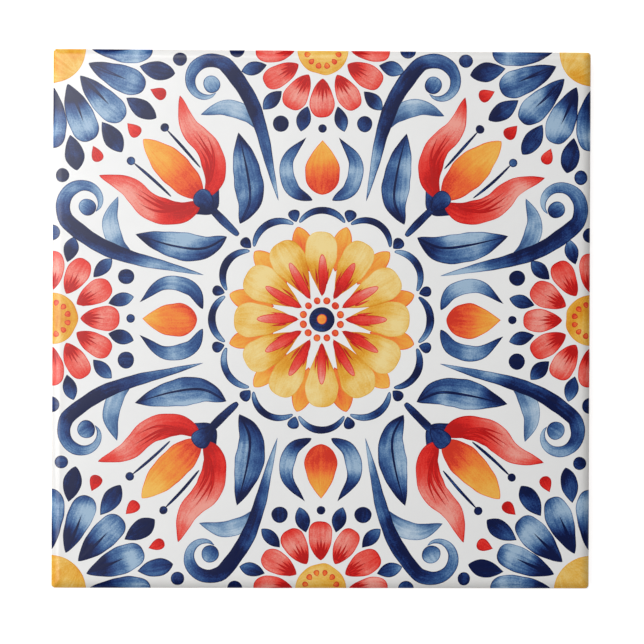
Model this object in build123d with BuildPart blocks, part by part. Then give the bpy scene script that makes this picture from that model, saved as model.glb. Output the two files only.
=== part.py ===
from build123d import *
import math
import os

# A square glazed wall tile, pressed and fired as one piece, lying face up.
# Millimetres. The origin is the centre of the back, +Z points out of the glazed face.

# Outline and thickness
tile_size = 152.0
thickness = 6.5
corner_radius = 0.9

# Cushion edge: the face falls away in a wide arc, then turns down over a small arris
cushion_width = 2.6
cushion_radius = 4.0
arris_radius = 0.6

# Side wall: an upright land that meets the neighbouring tiles, then draft down to the back
land_height = 1.9
side_draft = 4.0
back_chamfer = 0.4

# Key pattern: drafted square pockets pressed into the back, which the adhesive fills
pocket_size = 19.5
pocket_depth = 0.7
pocket_corner = 2.0
pocket_draft = 20.0
rib_width = 3.0
back_margin = 9.0

# Worked out from the sizes above
half_size = tile_size / 2
corner_centre = half_size - corner_radius
turn = math.degrees(math.asin((cushion_width - arris_radius) / (cushion_radius - arris_radius)))
cushion_centre = (half_size - cushion_width, thickness - cushion_radius)
arris_centre = (
    half_size - arris_radius,
    cushion_centre[1] + (cushion_radius - arris_radius) * math.cos(math.radians(turn)),
)
land_top = arris_centre[1]
land_bottom = land_top - land_height
back_inset = (land_bottom - back_chamfer) * math.tan(math.radians(side_draft))
back_half = half_size - back_inset
pocket_pitch = pocket_size + rib_width
pocket_count = int((2 * (back_half - back_margin) + rib_width) // pocket_pitch)


def half_section():
    """The tile's upright section from its middle to one edge, as a closed outline."""
    cushion = CenterArc(cushion_centre, cushion_radius, 90, -turn)
    arris = CenterArc(arris_centre, arris_radius, 90 - turn, turn - 90)
    Polyline(
        arris @ 1,
        (half_size, land_bottom),
        (back_half, back_chamfer),
        (back_half - back_chamfer, 0),
        (0, 0),
        (0, thickness),
        cushion @ 0,
    )


with BuildPart() as tile:
    # One quarter of the tile: the section drawn out along Y, crossed with the same along X
    with BuildSketch(Plane.XZ):
        with BuildLine():
            half_section()
        make_face()
    extrude(amount=-half_size)
    with BuildSketch(Plane.YZ):
        with BuildLine():
            half_section()
        make_face()
    extrude(amount=half_size, mode=Mode.INTERSECT)

    # Its corner is taken out square and put back as the same section turned through 90 degrees
    with BuildSketch():
        with Locations((corner_centre, corner_centre)):
            Rectangle(corner_radius, corner_radius, align=Align.MIN)
    extrude(amount=thickness, mode=Mode.SUBTRACT)
    with BuildSketch(Plane.XZ.offset(-corner_centre)):
        with BuildLine():
            half_section()
        make_face()
        with Locations((corner_centre, 0)):
            Rectangle(corner_radius, thickness, align=Align.MIN, mode=Mode.INTERSECT)
    revolve(
        axis=Axis((corner_centre, corner_centre, 0), (0, 0, 1)),
        revolution_arc=90,
    )

    # The other three quarters
    mirror(about=Plane.XZ)
    mirror(about=Plane.YZ)

    # Key pockets in the back
    with BuildSketch():
        with GridLocations(pocket_pitch, pocket_pitch, pocket_count, pocket_count):
            RectangleRounded(pocket_size, pocket_size, pocket_corner)
    extrude(amount=pocket_depth, taper=pocket_draft, mode=Mode.SUBTRACT)

tile.part.label = "tile"
os.makedirs("parts", exist_ok=True)
export_step(tile.part, "parts/tile.step")

print("solids", len(tile.part.solids()), "faces", len(tile.part.faces()))
print("pockets", pocket_count, "a side, land", round(land_bottom, 2), "to", round(land_top, 2))
print("volume", round(tile.part.volume / 1000, 1), "cm3, box", tile.part.bounding_box().size)
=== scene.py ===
import math

import bmesh
import bpy
import numpy as np
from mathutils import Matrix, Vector


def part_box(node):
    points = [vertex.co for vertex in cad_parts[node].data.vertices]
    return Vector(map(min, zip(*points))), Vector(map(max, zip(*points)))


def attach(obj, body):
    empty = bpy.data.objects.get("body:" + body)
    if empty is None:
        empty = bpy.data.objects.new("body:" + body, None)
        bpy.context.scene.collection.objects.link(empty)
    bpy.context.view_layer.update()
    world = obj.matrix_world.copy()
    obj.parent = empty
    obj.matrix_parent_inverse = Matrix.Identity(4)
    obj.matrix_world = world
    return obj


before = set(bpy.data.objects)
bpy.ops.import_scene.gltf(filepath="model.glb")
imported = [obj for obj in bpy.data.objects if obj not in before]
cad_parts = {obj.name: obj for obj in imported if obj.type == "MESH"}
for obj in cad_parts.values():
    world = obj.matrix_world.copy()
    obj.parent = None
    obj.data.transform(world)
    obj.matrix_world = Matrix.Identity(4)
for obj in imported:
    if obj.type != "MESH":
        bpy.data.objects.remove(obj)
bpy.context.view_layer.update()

# Lengths are in millimetres, and mm turns them into Blender's metres
mm = 0.001
tile_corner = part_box("tile")[1]
half_size = tile_corner[0] / mm
thickness = tile_corner[2] / mm

# The fired body's edge section, which the glaze follows
corner_radius = 0.9
cushion_width = 2.6
cushion_radius = 4.0
arris_radius = 0.6
land_height = 1.9
side_draft = math.radians(4)
cushion_turn = math.asin((cushion_width - arris_radius) / (cushion_radius - arris_radius))
arris_inset = arris_radius * (1 - math.sin(cushion_turn))
arris_height = thickness - cushion_radius + (cushion_radius - arris_radius) * math.cos(cushion_turn)
land_bottom = arris_height - land_height

# Glaze coat: its thickness, how deep it goes into the body, and the slow waves in it, which fade out
# over a margin along the edge
glaze_thickness = 0.035
glaze_root = 0.03
wave_height = 0.006
wave_margin = 6

# Painted shade along the edge of the face: how much the glaze there is greyed towards the thin
# glaze's colour, how far inside the edge this begins and is full, and the upward parts of a
# direction that tell the sides from the face
edge_shade = 0.3
edge_shade_insets = (5, 2)
side_to_face = (0.5, 0.9)

# Where the glaze ends on the sides, above the floor, and the lip that it ends in, as shares of the
# way down with the thickness there as a factor
glaze_line = 2.3
glaze_line_wander = 0.5
lip_profile = ((0, 1), (0.25, 1), (0.5, 1), (0.72, 1.1), (0.86, 1.5), (0.94, 1.4), (0.985, 0.7), (1, 0))

# Rings of the glaze mesh: how many lie on the flat face, the share of its half width that the first
# one has, turns of the cushion and the arris in degrees for the others, and points round each ring
face_rings = 29
first_ring = 0.02
glaze_cushion_bends = range(0, 36, 4)
glaze_arris_bends = range(36, 90, 9)
points_per_side = 56
points_per_corner = 8

# How fast the corner radius of these rings grows inwards, and the share of a ring's half width that
# it stays within
corner_growth = 0.15
corner_share = 0.4

# Edges that turn more than this are shaded sharp
crease_angle = math.radians(35)

# Paint, fused into the glaze: how far it stands proud at a stroke's rim, how much more past its
# rounded shoulder and how wide that is, how deep it goes, how far it stays inside the tile's
# outline, and how wide the pigment pools along a rim
paint_edge = 0.004
paint_rise = 0.01
paint_shoulder = 0.4
paint_root = 0.012
paint_edge_inset = 0.03
pool_width = 0.32

# Steps in height that keep crossing strokes apart, from layer to layer, pass to pass and copy to
# copy, and how many heights the copies take in turn
layer_step = 0.012
pass_step = 0.0008
copy_step = 0.0002
copy_heights = 3

# Turns in degrees at which paint is cut round a corner, and divided over the cushion and the arris,
# how near a point has to be to lie on a cut, and the edges that are too short to keep
paint_corner_cuts = (12, 34, 56, 78)
paint_cushion_bends = (0, 6, 12, 18, 24, 30)
paint_arris_bends = (36, 50, 63)
near_cut = 1e-5
shortest_edge = 0.001

# Mesh of a brush stroke: columns of points from its right side to its left, for half widths above
# and up to that of a thin one, rows of points along it, and the rows added for its tips
wide_columns = np.array([-1, -0.88, -0.62, -0.22, 0.22, 0.62, 0.88, 1])
thin_columns = np.array([-1, -0.6, 0, 0.6, 1])
thin_stroke = 0.6
row_spacing = 0.7
wide_tip_rows = 10
thin_tip_rows = 6

# Unevenness from one copy of a stroke to the next: in its pigment, in its width, and in its sideways
# sway, which is a share of its length and grows no more past the longest. A piece's seed comes from
# its name, within a range, and the golden ratio steps it from copy to copy
load_variation = 0.07
width_variation = 0.05
sway = 0.02
longest_sway = 22
seed_range = 97
golden_ratio = 1.618

# Radii of the motifs, and how many petals the rosette has
rosette_petals = 12
rosette_radius = 24.8
wreath_radius = 31.0
scallop_radius = 7.4
daisy_radius = 19
corner_flower_radius = 28

# What most values of a noise lie between, the wider span that streaks are drawn from, and each
# surface's roughness, from its smoothest spots to its roughest
noise_span = (0.3, 0.7)
streak_span = (0.25, 0.75)
wash_roughness = (0.16, 0.26)
glaze_roughness = (0.1, 0.18)
clay_roughness = (0.82, 0.95)

# The photograph's frame: its side, the tile's width and centre there, the tile's turn, how far left
# of straight above the tile the camera stands, and its lens
photo_px = 644
tile_px = 538.3
tile_centre_px = (321.85, 319.4)
tile_turn = math.radians(0.24)
camera_lean = math.radians(1.2)
camera_lens = 110

# Studio, in metres: one softbox up on the left, and a soft even light
lamp_place = (-0.385, 0.21, 0.46)
lamp_size = 0.72
lamp_power = 4.87
soft_light = 0.29

# What the glaze mirrors: white walls up to a height, a dim ceiling, and a glow above on the lamp's
# side. Each pair is where the change between two of them begins and ends
wall_edge = (0.02, 0.32)
ceiling_light = 0.05
glow_side = (-0.85, 0.5, 0)
glow_edge = (-0.06, 0.14)
glow_foot = (0.5, 0.85)
glow_light = 1.2

# Floor, in metres: its half size, how far it lies under the tile, its own light where it is seen,
# near the tile and far from it, and the radii between them
floor_half_size = 1.5
floor_drop = 0.0001
floor_glow = (0.75, 1)
floor_glow_radii = (0.2, 0.7)


# Plan lines and shapes

def point_at(centre, radius, degrees):
    """A plan point at that radius and angle from a centre."""
    angle = math.radians(degrees)
    return np.array(centre) + radius * np.array([math.cos(angle), math.sin(angle)])


def ray(centre, start, end, degrees):
    """A straight line outwards from a centre, between two radii."""
    return np.array([point_at(centre, start, degrees), point_at(centre, end, degrees)])


def arc(centre, radius, start, end, count=24):
    """A round line about a centre between two angles in degrees."""
    return np.array([point_at(centre, radius, angle) for angle in np.linspace(start, end, count)])


def spiral(centre, radii, angles, count=40):
    """A line that winds about a centre while its radius shrinks evenly."""
    turns = zip(np.linspace(*radii, count), np.linspace(*angles, count))
    return np.array([point_at(centre, radius, angle) for radius, angle in turns])


def through(*points, count=16):
    """A smooth line through the points, a Catmull-Rom curve."""
    p = np.array(points, float)
    p = np.vstack([2 * p[0] - p[1], p, 2 * p[-1] - p[-2]])
    t = np.linspace(0, 1, count, endpoint=False)[:, None]
    spans = []
    for a, b, c, d in zip(p, p[1:], p[2:], p[3:]):
        spans.append(b + 0.5 * t * (c - a + t * (2 * a - 5 * b + 4 * c - d + t * (3 * (b - c) + d - a))))
    return np.vstack(spans + [p[-2:-1]])


def turned(degrees):
    """The matrix that turns plan points about the tile's middle."""
    c, s = math.cos(math.radians(degrees)), math.sin(math.radians(degrees))
    return np.array([[c, -s], [s, c]])


def around(count, start=0.0):
    """Evenly spaced turns about the middle."""
    return [turned(start + k * 360 / count) for k in range(count)]


def both_sides(places):
    """Each place, and its mirror image about the line that it stands on."""
    flip = np.diag([1.0, -1.0])
    return places + [place @ flip for place in places]


def halfway(angles):
    """The angles halfway between neighbouring ones."""
    return (angles[:-1] + angles[1:]) / 2


at_middle = [np.eye(2)]
on_axes = around(4)
on_diagonals = around(4, 45)
on_petals = around(rosette_petals)
between_petals = around(rosette_petals, 180 / rosette_petals)
beside_axes = both_sides(on_axes)
beside_diagonals = both_sides(on_diagonals)
side_directions = ((1, 0), (-1, 0), (0, 1), (0, -1))


# The glazed surface

def edge_inset(x, y):
    """How far in from the tile's rounded outline a plan point is, and the direction of that edge."""
    corner = half_size - corner_radius
    over = np.maximum(np.abs([x, y]) - corner, 0)
    in_corner = over.min(axis=0) > 0
    to_corner = np.maximum(np.hypot(*over), 1e-6)
    to_side = half_size - np.maximum(np.abs(x), np.abs(y))
    beside_x = (np.abs(x) >= np.abs(y)).astype(float)
    out_x = np.where(in_corner, over[0] / to_corner, beside_x) * np.sign(x)
    out_y = np.where(in_corner, over[1] / to_corner, 1 - beside_x) * np.sign(y)
    return np.where(in_corner, corner_radius - to_corner, to_side), out_x, out_y


def section_insets(cushion_bends, arris_bends):
    """How far in the edge section has turned by those degrees, on its cushion and on its arris."""
    on_cushion = cushion_width - cushion_radius * np.sin(np.radians(cushion_bends))
    on_arris = arris_radius * (1 - np.sin(np.radians(arris_bends)))
    return [*on_cushion, *on_arris]


def waves(x, y):
    """Slow unevenness of the glaze, between -1 and 1."""
    slow = np.sin(x / 8.3 + 1.1) * np.cos(y / 9.7 - 0.6)
    quick = np.sin((x + 0.6 * y) / 4.1) * np.sin((y - 0.5 * x) / 5.2 + 2.0)
    return 0.65 * slow + 0.35 * quick


def on_glaze(plan, lift):
    """Points in space above the glaze by lift, square to its surface, over the plan points."""
    x, y = plan[:, 0], plan[:, 1]
    inset, out_x, out_y = edge_inset(x, y)
    on_arris = inset < arris_inset
    cushion_sine = np.clip((cushion_width - inset) / cushion_radius, 0, 1)
    arris_sine = np.clip((arris_radius - inset) / arris_radius, 0, 1)
    sine = np.where(on_arris, arris_sine, cushion_sine)
    cosine = np.sqrt(1 - sine**2)
    body = np.where(
        on_arris,
        arris_height + arris_radius * cosine,
        thickness - cushion_radius * (1 - cosine),
    )
    rise = glaze_thickness + wave_height * waves(x, y) * np.clip(inset / wave_margin, 0, 1) + lift
    return np.column_stack([x + out_x * sine * rise, y + out_y * sine * rise, body + cosine * rise])


# Brush strokes

def swell(t, rise, fall):
    """A stroke's width along it. A low rise or fall is blunt, 0.5 is round, 1 and over is pointed."""
    peak = rise / (rise + fall)
    return t**rise * (1 - t) ** fall / (peak**rise * (1 - peak) ** fall)


def length_of(line):
    """How long a line of plan points is."""
    return np.hypot(*np.diff(line, axis=0).T).sum()


def even_line(line, t):
    """Points of the line at shares t of its length, and how far along it they are."""
    travelled = np.append(0, np.cumsum(np.hypot(*np.diff(line, axis=0).T)))
    along = t * travelled[-1]
    return np.column_stack([np.interp(along, travelled, c) for c in line.T]), along


def square_to(spine):
    """Unit vectors that point to the left of the line at each of its points."""
    tangent = np.gradient(spine, axis=0)
    tangent /= np.maximum(np.hypot(*tangent.T)[:, None], 1e-9)
    return np.column_stack([-tangent[:, 1], tangent[:, 0]])


def wobble(along, seed):
    """The small unsteadiness of a hand-held brush, as a factor on the width."""
    return 1 + 0.03 * np.sin(along / 1.9 + 7 * seed) + 0.016 * np.sin(along / 0.8 + 3 * seed)


def distance_to(outline, points):
    """The distance from each point to a closed outline."""
    start, step = outline, np.roll(outline, -1, axis=0) - outline
    length = np.maximum((step**2).sum(axis=1), 1e-12)
    away = points[:, None] - start
    share = np.clip((away * step).sum(axis=2) / length, 0, 1)
    return np.sqrt(((away - share[..., None] * step) ** 2).sum(axis=2)).min(axis=1)


class Strokes:
    """Brush strokes of one pigment, gathered into one piece."""

    def __init__(self, name, layer=0):
        self.name = name
        self.layer = layer
        self.plan = []
        self.faces = []
        self.values = {"load": [], "rim": [], "height": [], "brush": []}
        self.seed = sum(map(ord, name)) % seed_range
        self.passes = 0

    def add(self, line, half_width, ends=(0.5, 0.5), load=(0.5, 0.5), shade=0.0, places=at_middle):
        """Lays one stroke along the line at each place. Ends are its rise and fall, as in swell, load
        is the pigment from start to end, and shade is how much more of it lies on the left."""
        for number, place in enumerate(places):
            self.seed += golden_ratio
            height = pass_step * self.passes + copy_step * (number % copy_heights)
            left = -1 if np.linalg.det(place) < 0 else 1
            self.lay(line @ place.T, half_width, ends, load, shade * left, height)
        self.passes += 1

    def unevenness(self, key):
        """A number from -1 to 1 that differs from stroke to stroke and from key to key."""
        return math.sin(key * self.seed)

    def lay(self, line, half_width, ends, load, shade, height):
        """One stroke: a tip, rows of points across its width, and the other tip."""
        wide = half_width > thin_stroke
        columns = wide_columns if wide else thin_columns
        rows = int(length_of(line) / row_spacing) + (wide_tip_rows if wide else thin_tip_rows)
        t = (1 - np.cos(np.pi * np.arange(rows + 1) / rows)) / 2
        spine, along = even_line(line, t)
        aside = sway * min(along[-1], longest_sway) * self.unevenness(5)
        spine += square_to(spine) * (aside * np.sin(np.pi * t))[:, None]
        width = half_width * swell(t, *ends) * wobble(along, self.seed)
        width *= 1 + width_variation * self.unevenness(11)
        body = spine[1:-1, None] + square_to(spine)[1:-1, None] * (width[1:-1, None] * columns)[..., None]
        points = np.vstack([spine[:1], body.reshape(-1, 2), spine[-1:]])
        outline = np.vstack([spine[:1], body[:, 0], spine[-1:], body[::-1, -1]])
        self.join(len(self.plan), rows, len(columns))
        self.plan.extend(points)
        self.values["rim"].extend(distance_to(outline, points))
        self.values["height"].extend(np.full(len(points), height))
        t = np.concatenate([t[:1], np.repeat(t[1:-1], len(columns)), t[-1:]])
        across = np.concatenate([[0], np.tile(columns, rows - 1), [0]])
        self.ink(t, across, half_width, along[-1], load, shade)

    def ink(self, t, across, half_width, length, load, shade):
        """The pigment at a stroke's points, and where they lie across the stroke and along it."""
        amount = np.interp(t, np.linspace(0, 1, len(load)), load) + shade * across
        self.values["load"].extend(amount + load_variation * self.unevenness(13))
        seeds = np.full(len(t), self.seed)
        self.values["brush"].extend(np.column_stack([across * half_width, t * length, seeds]))

    def join(self, first, rows, wide):
        """Faces of one stroke: a fan at each tip and a grid between them."""
        last = first + (rows - 1) * wide + 1
        for j in range(wide - 1):
            self.faces.append((first, first + 1 + j, first + 2 + j))
            self.faces.append((last, last - wide + j + 1, last - wide + j))
            for corner in range(first + 1 + j, last - wide, wide):
                self.faces.append((corner, corner + wide, corner + wide + 1, corner + 1))


def trim_planes():
    """Planes round the tile that paint is cut off at, as (point, outward normal)."""
    reach = half_size - paint_edge_inset
    planes = [((k[0] * reach, k[1] * reach), k) for k in side_directions]
    corner = half_size - corner_radius
    for quarter in range(4):
        centre = turned(90 * quarter) @ (corner, corner)
        for degrees in paint_corner_cuts:
            out = turned(90 * quarter + degrees) @ (1, 0)
            planes.append((centre + out * (corner_radius - paint_edge_inset), out))
    return planes


def bend_planes():
    """Planes along the cushion edge that paint is divided at, so that it follows the edge's curve."""
    mitres = [((0, 0), (1, 1)), ((0, 0), (1, -1))]
    insets = section_insets(paint_cushion_bends, paint_arris_bends)
    return mitres + [(np.array(k) * (half_size - inset), k) for inset in insets for k in side_directions]


def cut_to_tile(strokes):
    """The strokes as a flat mesh, cut to the tile's outline and divided along its cushion edge."""
    flat = bpy.data.meshes.new("flat")
    flat.from_pydata([(x, y, 0) for x, y in strokes.plan], [], strokes.faces)
    for name, values in strokes.values.items():
        values = np.array(values, np.float32)
        kind, field = ("FLOAT", "value") if values.ndim == 1 else ("FLOAT_VECTOR", "vector")
        flat.attributes.new(name, kind, "POINT").data.foreach_set(field, values.ravel())
    bm = bmesh.new()
    bm.from_mesh(flat)
    bpy.data.meshes.remove(flat)
    if np.abs(strokes.plan).max() > half_size - cushion_width:
        for point, out in trim_planes():
            cut(bm, point, out, clear_outer=True)
        for point, out in bend_planes():
            cut(bm, point, out, clear_outer=False)
        bmesh.ops.dissolve_degenerate(bm, dist=shortest_edge, edges=bm.edges)
    return bm


def cut(bm, point, out, clear_outer):
    """Cuts a flat mesh along an upright plane, and deletes what lies outside it where that is asked."""
    geometry = bm.verts[:] + bm.edges[:] + bm.faces[:]
    bmesh.ops.bisect_plane(
        bm, geom=geometry, dist=near_cut, plane_co=(*point, 0), plane_no=(*out, 0), clear_outer=clear_outer
    )


def close_under(bm, top, bottom):
    """Lifts a flat mesh to its top points and closes it with walls and an underside."""
    bm.verts.ensure_lookup_table()
    upper = list(bm.verts)
    edge_loops = [e.link_loops[0] for e in bm.edges if e.is_boundary]
    walls = [(loop.vert, loop.link_loop_next.vert) for loop in edge_loops]
    faces = list(bm.faces)
    lower = {}
    for vertex, point in zip(upper, bottom):
        lower[vertex] = bm.verts.new(point, vertex)
    for vertex, point in zip(upper, top):
        vertex.co = point
    for face in faces:
        bm.faces.new([lower[v] for v in reversed(face.verts)])
    for a, b in walls:
        bm.faces.new((b, a, lower[a], lower[b]))


def readings(bm, name):
    """A float layer's values at the mesh's points."""
    layer = bm.verts.layers.float[name]
    return np.array([v[layer] for v in bm.verts])


def lay_paint(strokes, material):
    """Makes the strokes into a piece that is fused into the glaze."""
    bm = cut_to_tile(strokes)
    plan = np.array([v.co[:2] for v in bm.verts])
    dome = np.sin(np.clip(readings(bm, "rim") / paint_shoulder, 0, 1) * math.pi / 2)
    height = paint_edge + layer_step * strokes.layer + readings(bm, "height")
    top = on_glaze(plan, height + paint_rise * dome) * mm
    bottom = on_glaze(plan, -paint_root) * mm
    close_under(bm, top, bottom)
    add_piece(strokes.name, bm, material)


def add_piece(name, bm, material):
    """A mesh as one smooth-shaded piece of the tile, in the record's frame."""
    mesh = bpy.data.meshes.new(name)
    bm.to_mesh(mesh)
    bm.free()
    mesh.materials.append(material)
    mesh.shade_smooth()
    mesh.set_sharp_from_angle(angle=crease_angle)
    piece = bpy.data.objects.new(name, mesh)
    bpy.context.collection.objects.link(piece)
    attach(piece, "root")


# Glaze coat

def outline_ring(inset):
    """Plan points of the tile's rounded outline, moved in by inset, anticlockwise. The corners get
    rounder inwards."""
    reach = half_size - inset
    radius = min(corner_share * reach, corner_radius + corner_growth * inset)
    corner = reach - radius
    side = [(reach, v) for v in np.linspace(-corner, corner, points_per_side, endpoint=False)]
    angles = np.linspace(0, 90, points_per_corner, endpoint=False)
    bend = [point_at((corner, corner), radius, angle) for angle in angles]
    return np.array([turned(90 * quarter) @ p for quarter in range(4) for p in side + bend])


def glaze_lower_edge(ring):
    """How low the glaze runs at each point round the tile, with a few longer runs."""
    angle = np.arctan2(ring[:, 1], ring[:, 0])
    wander = np.sin(5 * angle + 0.4) + 0.6 * np.sin(11 * angle + 2.1) + 0.35 * np.sin(23 * angle)
    runs = np.clip(np.sin(17 * angle + 1.3) * np.sin(7 * angle), 0.5, 1) - 0.5
    return glaze_line - glaze_line_wander * (0.5 * wander + 1.6 * runs)


def wall_ring(share, lift):
    """A ring round the side wall, a share of the way down to the glaze's lower edge and lifted
    outwards."""
    ring = outline_ring(0)
    _, out_x, out_y = edge_inset(*ring.T)
    height = arris_height + (glaze_lower_edge(ring) - arris_height) * share
    drafted = np.maximum(land_bottom - height, 0) * math.tan(side_draft)
    return np.column_stack([ring + np.column_stack([out_x, out_y]) * (lift - drafted)[:, None], height])


def glaze_skin():
    """Rings of the glaze's outer skin, from the middle of the face down to its lip."""
    shares = np.linspace(first_ring, 1, face_rings, endpoint=False)
    insets = [*(half_size - shares * (half_size - cushion_width))]
    insets += section_insets(glaze_cushion_bends, glaze_arris_bends)
    rings = [on_glaze(outline_ring(inset), 0) for inset in insets]
    return rings + [wall_ring(share, glaze_thickness * factor) for share, factor in lip_profile]


def glaze_underside():
    """Rings of the glaze's hidden side in the body, from the lip back to the middle of the face."""
    insets = (arris_inset, cushion_width / 2, cushion_width, half_size * (1 - first_ring))
    rings = [wall_ring(share, -glaze_root) for share in (1, 0)]
    return rings + [on_glaze(outline_ring(inset), -glaze_thickness - glaze_root) for inset in insets]


def glaze_coat(material):
    """The white glaze over the face, the cushion edge and the upper part of the sides."""
    bm = bmesh.new()
    loops = [[bm.verts.new(p) for p in ring * mm] for ring in glaze_skin() + glaze_underside()]
    for a, b in zip(loops, loops[1:]):
        for k in range(len(a)):
            n = (k + 1) % len(a)
            bm.faces.new((a[k], b[k], b[n], a[n]))
    bm.faces.new(loops[0])
    bm.faces.new(reversed(loops[-1]))
    bmesh.ops.recalc_face_normals(bm, faces=bm.faces)
    add_piece("glaze_coat", bm, material)


# Materials

def new_material(name):
    """An empty node material with its shader, as (material, nodes, links, shader)."""
    material = bpy.data.materials.new(name)
    material.use_nodes = True
    nodes, links = material.node_tree.nodes, material.node_tree.links
    return material, nodes, links, nodes["Principled BSDF"]


def noise_value(nodes, links, vector, scale, detail, roughness):
    """A noise between about 0 and 1 over a vector socket."""
    node = nodes.new("ShaderNodeTexNoise")
    node.inputs["Scale"].default_value = scale
    node.inputs["Detail"].default_value = detail
    node.inputs["Roughness"].default_value = roughness
    links.new(vector, node.inputs["Vector"])
    return node.outputs["Fac"]


def object_place(nodes):
    """Where a point lies on the object, in metres."""
    return nodes.new("ShaderNodeTexCoord").outputs["Object"]


def reading(nodes, name, output="Fac"):
    """A mesh attribute, as a number or under its other outputs."""
    node = nodes.new("ShaderNodeAttribute")
    node.attribute_name = name
    return node.outputs[output]


def mapped(nodes, links, value, low, high, to_low, to_high, kind="LINEAR"):
    """A value moved from one range to another."""
    node = nodes.new("ShaderNodeMapRange")
    node.interpolation_type = kind
    for socket, number in zip(("From Min", "From Max", "To Min", "To Max"), (low, high, to_low, to_high)):
        node.inputs[socket].default_value = number
    links.new(value, node.inputs["Value"])
    return node.outputs["Result"]


def combined(nodes, links, operation, a, b):
    """Two values put together by arithmetic."""
    node = nodes.new("ShaderNodeMath")
    node.operation = operation
    links.new(a, node.inputs[0])
    links.new(b, node.inputs[1])
    return node.outputs["Value"]


def total(nodes, links, first, *others):
    """The sum of several values."""
    for value in others:
        first = combined(nodes, links, "ADD", first, value)
    return first


def colour(*rgb):
    """An sRGB colour, 0 to 255, as the linear values that nodes take."""
    shares = [c / 255 for c in rgb]
    return (*[c / 12.92 if c <= 0.04045 else ((c + 0.055) / 1.055) ** 2.4 for c in shares], 1)


def colours(nodes, links, value, stops):
    """A value turned into colour along (place, sRGB colour) stops."""
    ramp = nodes.new("ShaderNodeValToRGB")
    ramp.color_ramp.interpolation = "B_SPLINE"
    while len(ramp.color_ramp.elements) < len(stops):
        ramp.color_ramp.elements.new(1.0)
    for element, (place, rgb) in zip(ramp.color_ramp.elements, stops):
        element.position = place
        element.color = colour(*rgb)
    links.new(value, ramp.inputs["Fac"])
    return ramp.outputs["Color"]


def vector_math(nodes, links, operation, vector, other=(0, 0, 0)):
    """The outputs of vector arithmetic on a vector socket and three numbers."""
    node = nodes.new("ShaderNodeVectorMath")
    node.operation = operation
    node.inputs[1].default_value = other
    links.new(vector, node.inputs[0])
    return node.outputs


def parts_of(nodes, links, vector):
    """The x, y and z of a vector socket."""
    node = nodes.new("ShaderNodeSeparateXYZ")
    links.new(vector, node.inputs[0])
    return node.outputs


def bumped(nodes, links, shader, height, distance, strength):
    """Gives the shader a fine relief, distance deep in metres."""
    node = nodes.new("ShaderNodeBump")
    node.inputs["Distance"].default_value = distance
    node.inputs["Strength"].default_value = strength
    links.new(height, node.inputs["Height"])
    links.new(node.outputs["Normal"], shader.inputs["Normal"])


def wash(name, stops, streaks=0.34, clouds=0.4, grain=0.22, rim=0.6):
    """A thin pigment laid with a wet brush: darker where it pools at the stroke's rim, streaked
    along the stroke, clouded and granulated, each by that share of its colours."""
    material, nodes, links, shader = new_material(name)
    place = object_place(nodes)
    brush = reading(nodes, "brush", "Vector")
    bristles = vector_math(nodes, links, "MULTIPLY", brush, (1.2, 0.1, 3.1))["Vector"]
    streak = noise_value(nodes, links, bristles, scale=1, detail=4, roughness=0.6)
    cloud = noise_value(nodes, links, place, scale=120, detail=4, roughness=0.5)
    speck = noise_value(nodes, links, place, scale=2300, detail=2, roughness=0.7)
    tone = total(
        nodes, links,
        reading(nodes, "load"),
        mapped(nodes, links, streak, *streak_span, -streaks / 2, streaks / 2),
        mapped(nodes, links, cloud, *noise_span, -clouds / 2, clouds / 2),
        mapped(nodes, links, speck, *noise_span, -grain / 2, grain / 2),
        mapped(nodes, links, reading(nodes, "rim"), 0, pool_width, rim, 0, "SMOOTHSTEP"),
    )
    links.new(colours(nodes, links, tone, stops), shader.inputs["Base Color"])
    links.new(mapped(nodes, links, streak, *noise_span, *wash_roughness), shader.inputs["Roughness"])
    bumped(nodes, links, shader, tone, distance=0.02 * mm, strength=0.5)
    return material


def glaze_cover_and_edge_shade(nodes, links, place):
    """How well the glaze covers the clay, fully on the face and least down the sides, and the
    painted shade that greys the glaze along the face's edge."""
    normal = parts_of(nodes, links, nodes.new("ShaderNodeTexCoord").outputs["Normal"])
    on_top = mapped(nodes, links, normal["Z"], *side_to_face, 0, 1, "SMOOTHSTEP")
    apart = parts_of(nodes, links, vector_math(nodes, links, "ABSOLUTE", place)["Vector"])
    reach = combined(nodes, links, "MAXIMUM", apart["X"], apart["Y"])
    begins, full = [(half_size - inset) * mm for inset in edge_shade_insets]
    # Painted shade: the glaze greys towards the thin glaze's colour along the face's edge
    clear_of_edge_shade = mapped(nodes, links, reach, begins, full, 1, 1 - edge_shade, "SMOOTHSTEP")
    return combined(nodes, links, "MULTIPLY", on_top, clear_of_edge_shade)


def glaze_material():
    """White tin glaze: glossy, faintly clouded and rippled, greyer where it is thin down the sides,
    and greyed by painted shade along the face's edge.
    """
    material, nodes, links, shader = new_material("white glaze")
    place = object_place(nodes)
    cloud = noise_value(nodes, links, place, scale=60, detail=4, roughness=0.55)
    ripple = noise_value(nodes, links, place, scale=420, detail=2, roughness=0.5)
    # The thin glaze's colour, also used as painted shade along the face's edge
    thin_and_shaded_glaze = colour(218, 214, 208)
    full_glaze = colours(nodes, links, cloud, ((0.25, (236, 236, 236)), (0.75, (243, 243, 242))))
    mix = nodes.new("ShaderNodeMixRGB")
    mix.inputs["Color1"].default_value = thin_and_shaded_glaze
    links.new(full_glaze, mix.inputs["Color2"])
    links.new(glaze_cover_and_edge_shade(nodes, links, place), mix.inputs["Fac"])
    links.new(mix.outputs["Color"], shader.inputs["Base Color"])
    links.new(mapped(nodes, links, ripple, *noise_span, *glaze_roughness), shader.inputs["Roughness"])
    bumped(nodes, links, shader, ripple, distance=0.02 * mm, strength=0.35)
    return material


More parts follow.
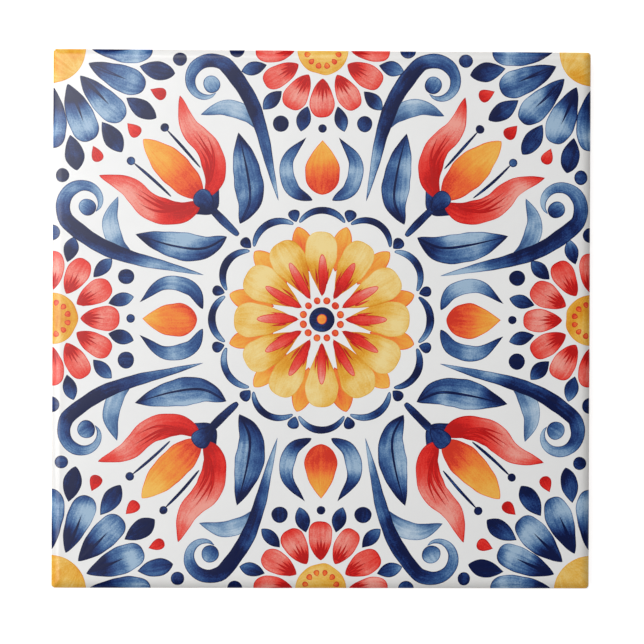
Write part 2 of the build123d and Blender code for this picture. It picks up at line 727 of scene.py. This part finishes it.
def clay_material():
    """Fired clay: buff and warm, with a sandy grain, scattered grog specks and a chalky surface."""
    material, nodes, links, shader = new_material("fired clay")
    place = object_place(nodes)
    cloud = noise_value(nodes, links, place, scale=28, detail=5, roughness=0.6)
    sand = noise_value(nodes, links, place, scale=4200, detail=3, roughness=0.7)
    grog = noise_value(nodes, links, place, scale=1300, detail=1, roughness=0.4)
    tone = total(
        nodes, links,
        mapped(nodes, links, cloud, *noise_span, 0.4, 0.66),
        mapped(nodes, links, sand, *noise_span, -0.14, 0.14),
        mapped(nodes, links, grog, 0.66, 0.74, 0, -0.5),
    )
    stops = ((0.0, (132, 86, 60)), (0.4, (190, 142, 106)), (0.6, (203, 158, 122)), (1.0, (224, 190, 158)))
    links.new(colours(nodes, links, tone, stops), shader.inputs["Base Color"])
    links.new(mapped(nodes, links, cloud, *noise_span, *clay_roughness), shader.inputs["Roughness"])
    bumped(nodes, links, shader, sand, distance=0.05 * mm, strength=0.7)
    return material


# Pigments, from a thin load to a thick one
cobalt = wash("cobalt wash", (
    (0.0, (172, 197, 218)),
    (0.3, (88, 129, 174)),
    (0.55, (48, 85, 140)),
    (0.8, (21, 45, 107)),
    (1.0, (4, 10, 52)),
), clouds=0.56)
sky = wash("sky wash", (
    (0.0, (201, 216, 229)),
    (0.35, (138, 170, 200)),
    (0.65, (82, 121, 167)),
    (1.0, (34, 60, 112)),
), clouds=0.56)
red = wash("red wash", (
    (0.0, (244, 172, 158)),
    (0.3, (234, 95, 83)),
    (0.6, (231, 57, 47)),
    (0.8, (223, 32, 29)),
    (1.0, (178, 16, 17)),
))
orange = wash("orange wash", (
    (0.0, (246, 196, 96)),
    (0.3, (242, 164, 58)),
    (0.6, (242, 124, 56)),
    (0.85, (234, 74, 44)),
    (1.0, (206, 46, 30)),
))
yellow = wash("yellow wash", (
    (0.0, (244, 222, 158)),
    (0.35, (237, 194, 96)),
    (0.65, (229, 164, 38)),
    (1.0, (212, 116, 14)),
), clouds=0.6, rim=0.25)


# Motifs, each drawn once beside the x axis or round one corner, and repeated at its places

def middle_rosette():
    """A double rosette with a beaded eye in the middle of the tile."""
    middle = (0, 0)

    tips = Strokes("rosette_tips")
    tips.add(ray(middle, 14, 27, 0), 2.9, ends=(0.9, 0.7), load=(0.6, 0.5, 0.15), places=between_petals)
    lay_paint(tips, orange)

    petals = Strokes("rosette_petals", layer=1)
    petals.add(ray(middle, 6.4, rosette_radius, 0), 4.75, ends=(1.1, 0.4),
               load=(1.0, 0.85, 0.45, 0.15, 0.3), places=on_petals)
    lay_paint(petals, yellow)

    throats = Strokes("rosette_throats", layer=2)
    throats.add(ray(middle, 6.8, 18.4, 0), 1.35, load=(0.95, 0.75, 0.4, 0.05), places=on_petals)
    for angle in (-7.6, 7.6):
        throats.add(ray(middle, 10, 14.8, angle), 0.3, ends=(0.6, 1.2), load=(0.8, 0.3), places=on_petals)
    lay_paint(throats, red)

    eye = Strokes("rosette_eye", layer=1)
    eye.add(ray(middle, -3.6, 3.6, 0), 3.6, load=(0.75, 1.0))
    lay_paint(eye, cobalt)

    beads = Strokes("rosette_beads", layer=2)
    beads.add(ray(middle, 4.4, 6.4, 0), 1.0, load=(0.9, 0.7), places=between_petals)
    beads.add(ray(middle, -1.4, 1.4, 0), 1.4, load=(0.3, 0.5))
    lay_paint(beads, orange)


def wreath():
    """A scalloped ring with beads round the rosette."""
    scallops = Strokes("wreath_scallops")
    scallop = arc((wreath_radius - scallop_radius, 0), scallop_radius, -60, 60)
    scallops.add(scallop, 1.05, ends=(0.4, 0.4), load=(0.15, 1.05, 0.15), places=on_petals)
    lay_paint(scallops, cobalt)

    beads = Strokes("wreath_beads")
    beads.add(ray((0, 0), 28.4, 32, 0), 1.6, ends=(0.9, 0.5), load=(0.6, 1.0), places=between_petals)
    lay_paint(beads, cobalt)


def side_daisies():
    """Half daisies at the middles of the sides, which a neighbouring tile completes."""
    centre = (half_size, 0)
    petal_angles = np.linspace(90, 270, 7)
    gap_angles = halfway(petal_angles)

    sepals = Strokes("daisy_sepals")
    for angle in gap_angles:
        sepals.add(ray(centre, 16.4, 23.8, angle), 2.0, ends=(1.0, 0.9),
                   load=(1.0, 0.85, 0.4), places=on_axes)
    lay_paint(sepals, cobalt)

    petals = Strokes("daisy_petals", layer=1)
    streaks = Strokes("daisy_streaks", layer=2)
    for angle in petal_angles:
        petals.add(ray(centre, 8.0, daisy_radius, angle), 3.35, ends=(0.7, 0.38),
                   load=(1.0, 0.65, 0.2, 0.25, 0.6), places=on_axes)
        for lean, reach in ((-9, 12.2), (-5, 13.8), (0, 15), (5, 14), (9, 12)):
            root = point_at(centre, 9, angle + lean * 0.55)
            tip = point_at(centre, reach, angle + lean)
            streaks.add(np.array([root, tip]), 0.4, ends=(0.5, 1.4), load=(1.0, 0.85), places=on_axes)
    lay_paint(petals, red)
    lay_paint(streaks, red)

    discs = Strokes("daisy_discs", layer=1)
    discs.add(ray(centre, -7.2, 7.2, 90), 7.2, load=(0.5, 0.6), places=on_axes)
    lay_paint(discs, yellow)

    seeds = Strokes("daisy_seeds", layer=2)
    for angle in gap_angles:
        seeds.add(ray(centre, 3.6, 5.4, angle), 0.8, ends=(0.8, 0.5), load=(0.5, 0.9), places=on_axes)
    lay_paint(seeds, orange)


def corner_flowers():
    """Quarter flowers in the corners, which three neighbouring tiles complete."""
    centre = (half_size, half_size)
    petal_angles = np.linspace(180, 270, 5)
    gap_angles = halfway(petal_angles)

    leaves = Strokes("corner_leaves")
    for angle in gap_angles:
        leaves.add(ray(centre, 24.8, 35, angle), 2.6, ends=(1.0, 0.8),
                   load=(0.8, 0.85, 1.1), places=on_axes)
    lay_paint(leaves, cobalt)

    petals = Strokes("corner_petals", layer=1)
    ribs = Strokes("corner_ribs", layer=2)
    for angle in petal_angles:
        petals.add(ray(centre, 10.8, corner_flower_radius, angle), 3.85, ends=(0.8, 0.4),
                   load=(1.1, 0.95, 0.4, 0.15, 0.6), shade=0.15, places=on_axes)
        ribs.add(ray(centre, 11.8, 22.5, angle), 0.5, ends=(0.5, 1.1), load=(1.0, 0.95), places=on_axes)
    lay_paint(petals, cobalt)
    lay_paint(ribs, cobalt)

    discs = Strokes("corner_discs", layer=1)
    discs.add(ray(centre, -9.4, 9.4, 45), 9.4, places=on_axes)
    lay_paint(discs, yellow)

    drops = Strokes("corner_drops")
    for angle in petal_angles[1:-1]:
        drops.add(ray(centre, 29.6, 34.4, angle), 1.75, ends=(1.1, 0.5), load=(0.6, 0.9), places=on_axes)
    lay_paint(drops, red)


def tulip_stems():
    """The tulips' stems, sepals and stamens, on the lines from the rosette to the corners."""
    stems = Strokes("tulip_stems")
    stems.add(ray((0, 0), 33.4, 47, 0), 1.15, ends=(0.25, 0.25), load=(0.7, 1.0), places=on_diagonals)
    sepal = through((43, 0.8), (47.6, 4.2), (51.5, 10.4))
    stems.add(sepal, 1.3, ends=(0.6, 1.0), load=(1.0, 0.6), places=beside_diagonals)
    stamen = through((54.5, 5.8), (62, 6.3), (68.6, 6.6))
    stems.add(stamen, 0.42, ends=(0.4, 0.4), load=(0.9, 0.9), places=beside_diagonals)
    stems.add(ray((69.6, 6.7), -1.2, 1.2, 0), 1.2, load=(0.8, 1.0), places=beside_diagonals)
    lay_paint(stems, cobalt)


def tulip_flowers():
    """The tulips' hearts between two streaked outer petals, and the cups that hold them."""
    middle = (0, 0)

    hearts = Strokes("tulip_hearts", layer=1)
    hearts.add(ray(middle, 48.4, 71.5, 0), 4.7, ends=(0.6, 0.75), load=(1.0, 0.7, 0.3, 0.05),
               places=on_diagonals)
    lay_paint(hearts, orange)

    petals = Strokes("tulip_petals", layer=2)
    petal = through((47.4, 1.4), (49.8, 7.2), (56.6, 11.5), (65, 12), (73, 16))
    petals.add(petal, 3.6, ends=(0.55, 0.8), load=(1.0, 0.8, 0.3, 0.1, 0.7), shade=-0.15,
               places=beside_diagonals)
    lay_paint(petals, red)

    cups = Strokes("tulip_cups", layer=3)
    cups.add(ray(middle, 43.4, 50.4, 0), 2.6, ends=(0.9, 0.45), load=(1.0, 0.6), places=on_diagonals)
    lay_paint(cups, cobalt)

    streaks = Strokes("tulip_streaks", layer=3)
    for side, reach in ((-2.1, 59), (-0.7, 62.5), (0.7, 63), (2.1, 60)):
        streak = through((49.6, 4.4 + side * 0.3), (54, 9.4 + side * 0.7), (reach, 11.7 + side))
        streaks.add(streak, 0.46, ends=(0.5, 1.3), load=(1.0, 0.85), places=beside_diagonals)
    lay_paint(streaks, red)


def tulip_leaves():
    """A pair of ribbed leaves on either side of each tulip."""
    leaves = Strokes("tulip_leaves")
    leaf = through((35.4, 2.6), (38, 9.4), (44.5, 14.8), (54, 20.4))
    leaves.add(leaf, 4.1, ends=(0.85, 0.95), load=(1.0, 0.4, 0.3, 1.1), shade=0.25,
               places=beside_diagonals)
    lay_paint(leaves, cobalt)

    ribs = Strokes("tulip_leaf_ribs", layer=1)
    ribs.add(leaf, 0.36, ends=(0.4, 0.9), load=(1.0, 0.95), places=beside_diagonals)
    lay_paint(ribs, cobalt)


def scrolls():
    """Scrolls with leaves that fill the field between the flowers."""
    curl_centre = (66.6, 32.2)
    stem = ((33.4, 12.4), (43, 14.8), (53, 17.2), (62.5, 20.8))
    curl = spiral(curl_centre, (7.0, 3.2), (-54, 240))[::4]

    lines = Strokes("scrolls", layer=1)
    lines.add(through(*stem, *curl, count=6), 2.15, ends=(0.85, 0.7),
              load=(0.0, 0.4, 0.95, 1.05, 0.4, 0.1), shade=0.15, places=beside_axes)
    knob = ray(point_at(curl_centre, 1.0, 250), -2.5, 2.5, 30)
    lines.add(knob, 2.5, load=(0.8, 0.1), places=beside_axes)
    lay_paint(lines, cobalt)

    leaves = Strokes("scroll_leaves")
    leaf = through((53, 17.2), (57.6, 21), (59.7, 27.5), (57.6, 34.4))
    leaves.add(leaf, 2.5, ends=(0.8, 0.9), load=(0.9, 0.3, 0.7), shade=0.2, places=beside_axes)
    lay_paint(leaves, sky)


def buds():
    """Buds between two leaves, on the lines from the rosette to the sides."""
    drops = Strokes("buds")
    drops.add(ray((0, 0), 35.2, 50.6, 0), 4.8, ends=(0.6, 1.0), load=(1.0, 0.6, 0.1), places=on_axes)
    lay_paint(drops, orange)

    leaves = Strokes("bud_leaves")
    leaf = through((33.6, 2.8), (37, 8.2), (44.4, 9.6), (51.4, 4.6))
    leaves.add(leaf, 2.2, ends=(0.7, 1.0), load=(0.9, 0.1, 1.1), places=beside_axes)
    lay_paint(leaves, cobalt)


def berries():
    """Single dots in the gaps."""
    dots = Strokes("berries")
    for x, y, radius in ((55.2, 11.8, 2.3), (73.2, 40.4, 1.9), (76, 24.2, 2.2)):
        dots.add(ray((x, y), -radius, radius, 0), radius, load=(0.85, 0.95), places=beside_axes)
    dots.add(ray((0, 0), 52.7, 55.1, 0), 1.2, load=(0.85, 0.95), places=on_axes)
    lay_paint(dots, cobalt)


# Stage

def add_camera():
    """Above the tile, framed, turned and leaning as in the photograph."""
    camera = bpy.data.cameras.new("camera")
    camera.lens = camera_lens
    frame_width = 2 * half_size * photo_px / tile_px * mm
    distance = frame_width * camera.lens / camera.sensor_width
    per_px = frame_width / photo_px
    right = (photo_px / 2 - tile_centre_px[0]) * per_px
    down = (photo_px / 2 - tile_centre_px[1]) * per_px
    holder = bpy.data.objects.new("camera", camera)
    holder.rotation_euler = (0, -camera_lean, tile_turn)
    aim = Vector((right, -down, thickness * mm))
    holder.location = aim + holder.rotation_euler.to_matrix() @ Vector((0, 0, distance))
    bpy.context.collection.objects.link(holder)
    bpy.context.scene.camera = holder


def add_softbox():
    """A square area lamp that faces the tile."""
    lamp = bpy.data.lights.new("main light", "AREA")
    lamp.size = lamp_size
    lamp.energy = lamp_power
    holder = bpy.data.objects.new("main light", lamp)
    holder.location = lamp_place
    holder.rotation_euler = (-holder.location).to_track_quat("-Z", "Y").to_euler()
    bpy.context.collection.objects.link(holder)


def seen_directly(nodes, links):
    """1 for rays from the camera and for mirrored and refracted ones, 0 for those that light things."""
    path = nodes.new("ShaderNodeLightPath")
    kinds = [path.outputs[k] for k in ("Is Camera Ray", "Is Glossy Ray", "Is Transmission Ray")]
    return mapped(nodes, links, total(nodes, links, *kinds), 0, 1, 0, 1)


def add_floor():
    """A plain white floor that keeps the tile's shadow and evens out far from the lamp."""
    material, nodes, links, shader = new_material("floor")
    shader.inputs["Base Color"].default_value = (0.8, 0.8, 0.8, 1)
    shader.inputs["Roughness"].default_value = 0.9
    shader.inputs["Specular IOR Level"].default_value = 0.0
    shader.inputs["Emission Color"].default_value = (1, 1, 1, 1)
    distance = vector_math(nodes, links, "LENGTH", object_place(nodes))["Value"]
    even = mapped(nodes, links, distance, *floor_glow_radii, *floor_glow)
    glow = combined(nodes, links, "MULTIPLY", seen_directly(nodes, links), even)
    links.new(glow, shader.inputs["Emission Strength"])
    bm = bmesh.new()
    bmesh.ops.create_grid(bm, x_segments=1, y_segments=1, size=floor_half_size)
    mesh = bpy.data.meshes.new("floor")
    bm.to_mesh(mesh)
    bm.free()
    mesh.materials.append(material)
    floor = bpy.data.objects.new("floor", mesh)
    floor.location.z = -floor_drop
    bpy.context.collection.objects.link(floor)


def add_world():
    """A pale studio: white walls, a dim ceiling that glows on the lamp's side, and a soft even light."""
    world = bpy.data.worlds.new("surroundings")
    world.use_nodes = True
    nodes, links = world.node_tree.nodes, world.node_tree.links
    direction = nodes.new("ShaderNodeTexCoord").outputs["Generated"]
    upward = parts_of(nodes, links, direction)["Z"]
    sideways = vector_math(nodes, links, "DOT_PRODUCT", direction, glow_side)["Value"]
    walls = mapped(nodes, links, upward, *wall_edge, 1, ceiling_light, "SMOOTHSTEP")
    beside = mapped(nodes, links, sideways, *glow_edge, 0, glow_light, "SMOOTHSTEP")
    overhead = mapped(nodes, links, upward, *glow_foot, 0, 1, "SMOOTHSTEP")
    glow = combined(nodes, links, "MULTIPLY", beside, overhead)
    strength = nodes.new("ShaderNodeMix")
    strength.inputs["A"].default_value = soft_light
    links.new(seen_directly(nodes, links), strength.inputs["Factor"])
    links.new(combined(nodes, links, "MAXIMUM", walls, glow), strength.inputs["B"])
    background = nodes["Background"]
    background.inputs["Color"].default_value = (1, 1, 1, 1)
    links.new(strength.outputs["Result"], background.inputs["Strength"])
    bpy.context.scene.world = world


add_camera()
add_world()
add_floor()
add_softbox()

clay = clay_material()
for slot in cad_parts["tile"].material_slots:
    slot.material = clay
glaze_coat(glaze_material())
middle_rosette()
wreath()
side_daisies()
corner_flowers()
tulip_stems()
tulip_flowers()
tulip_leaves()
scrolls()
buds()
berries()

bpy.context.scene.view_settings.view_transform = "Standard"
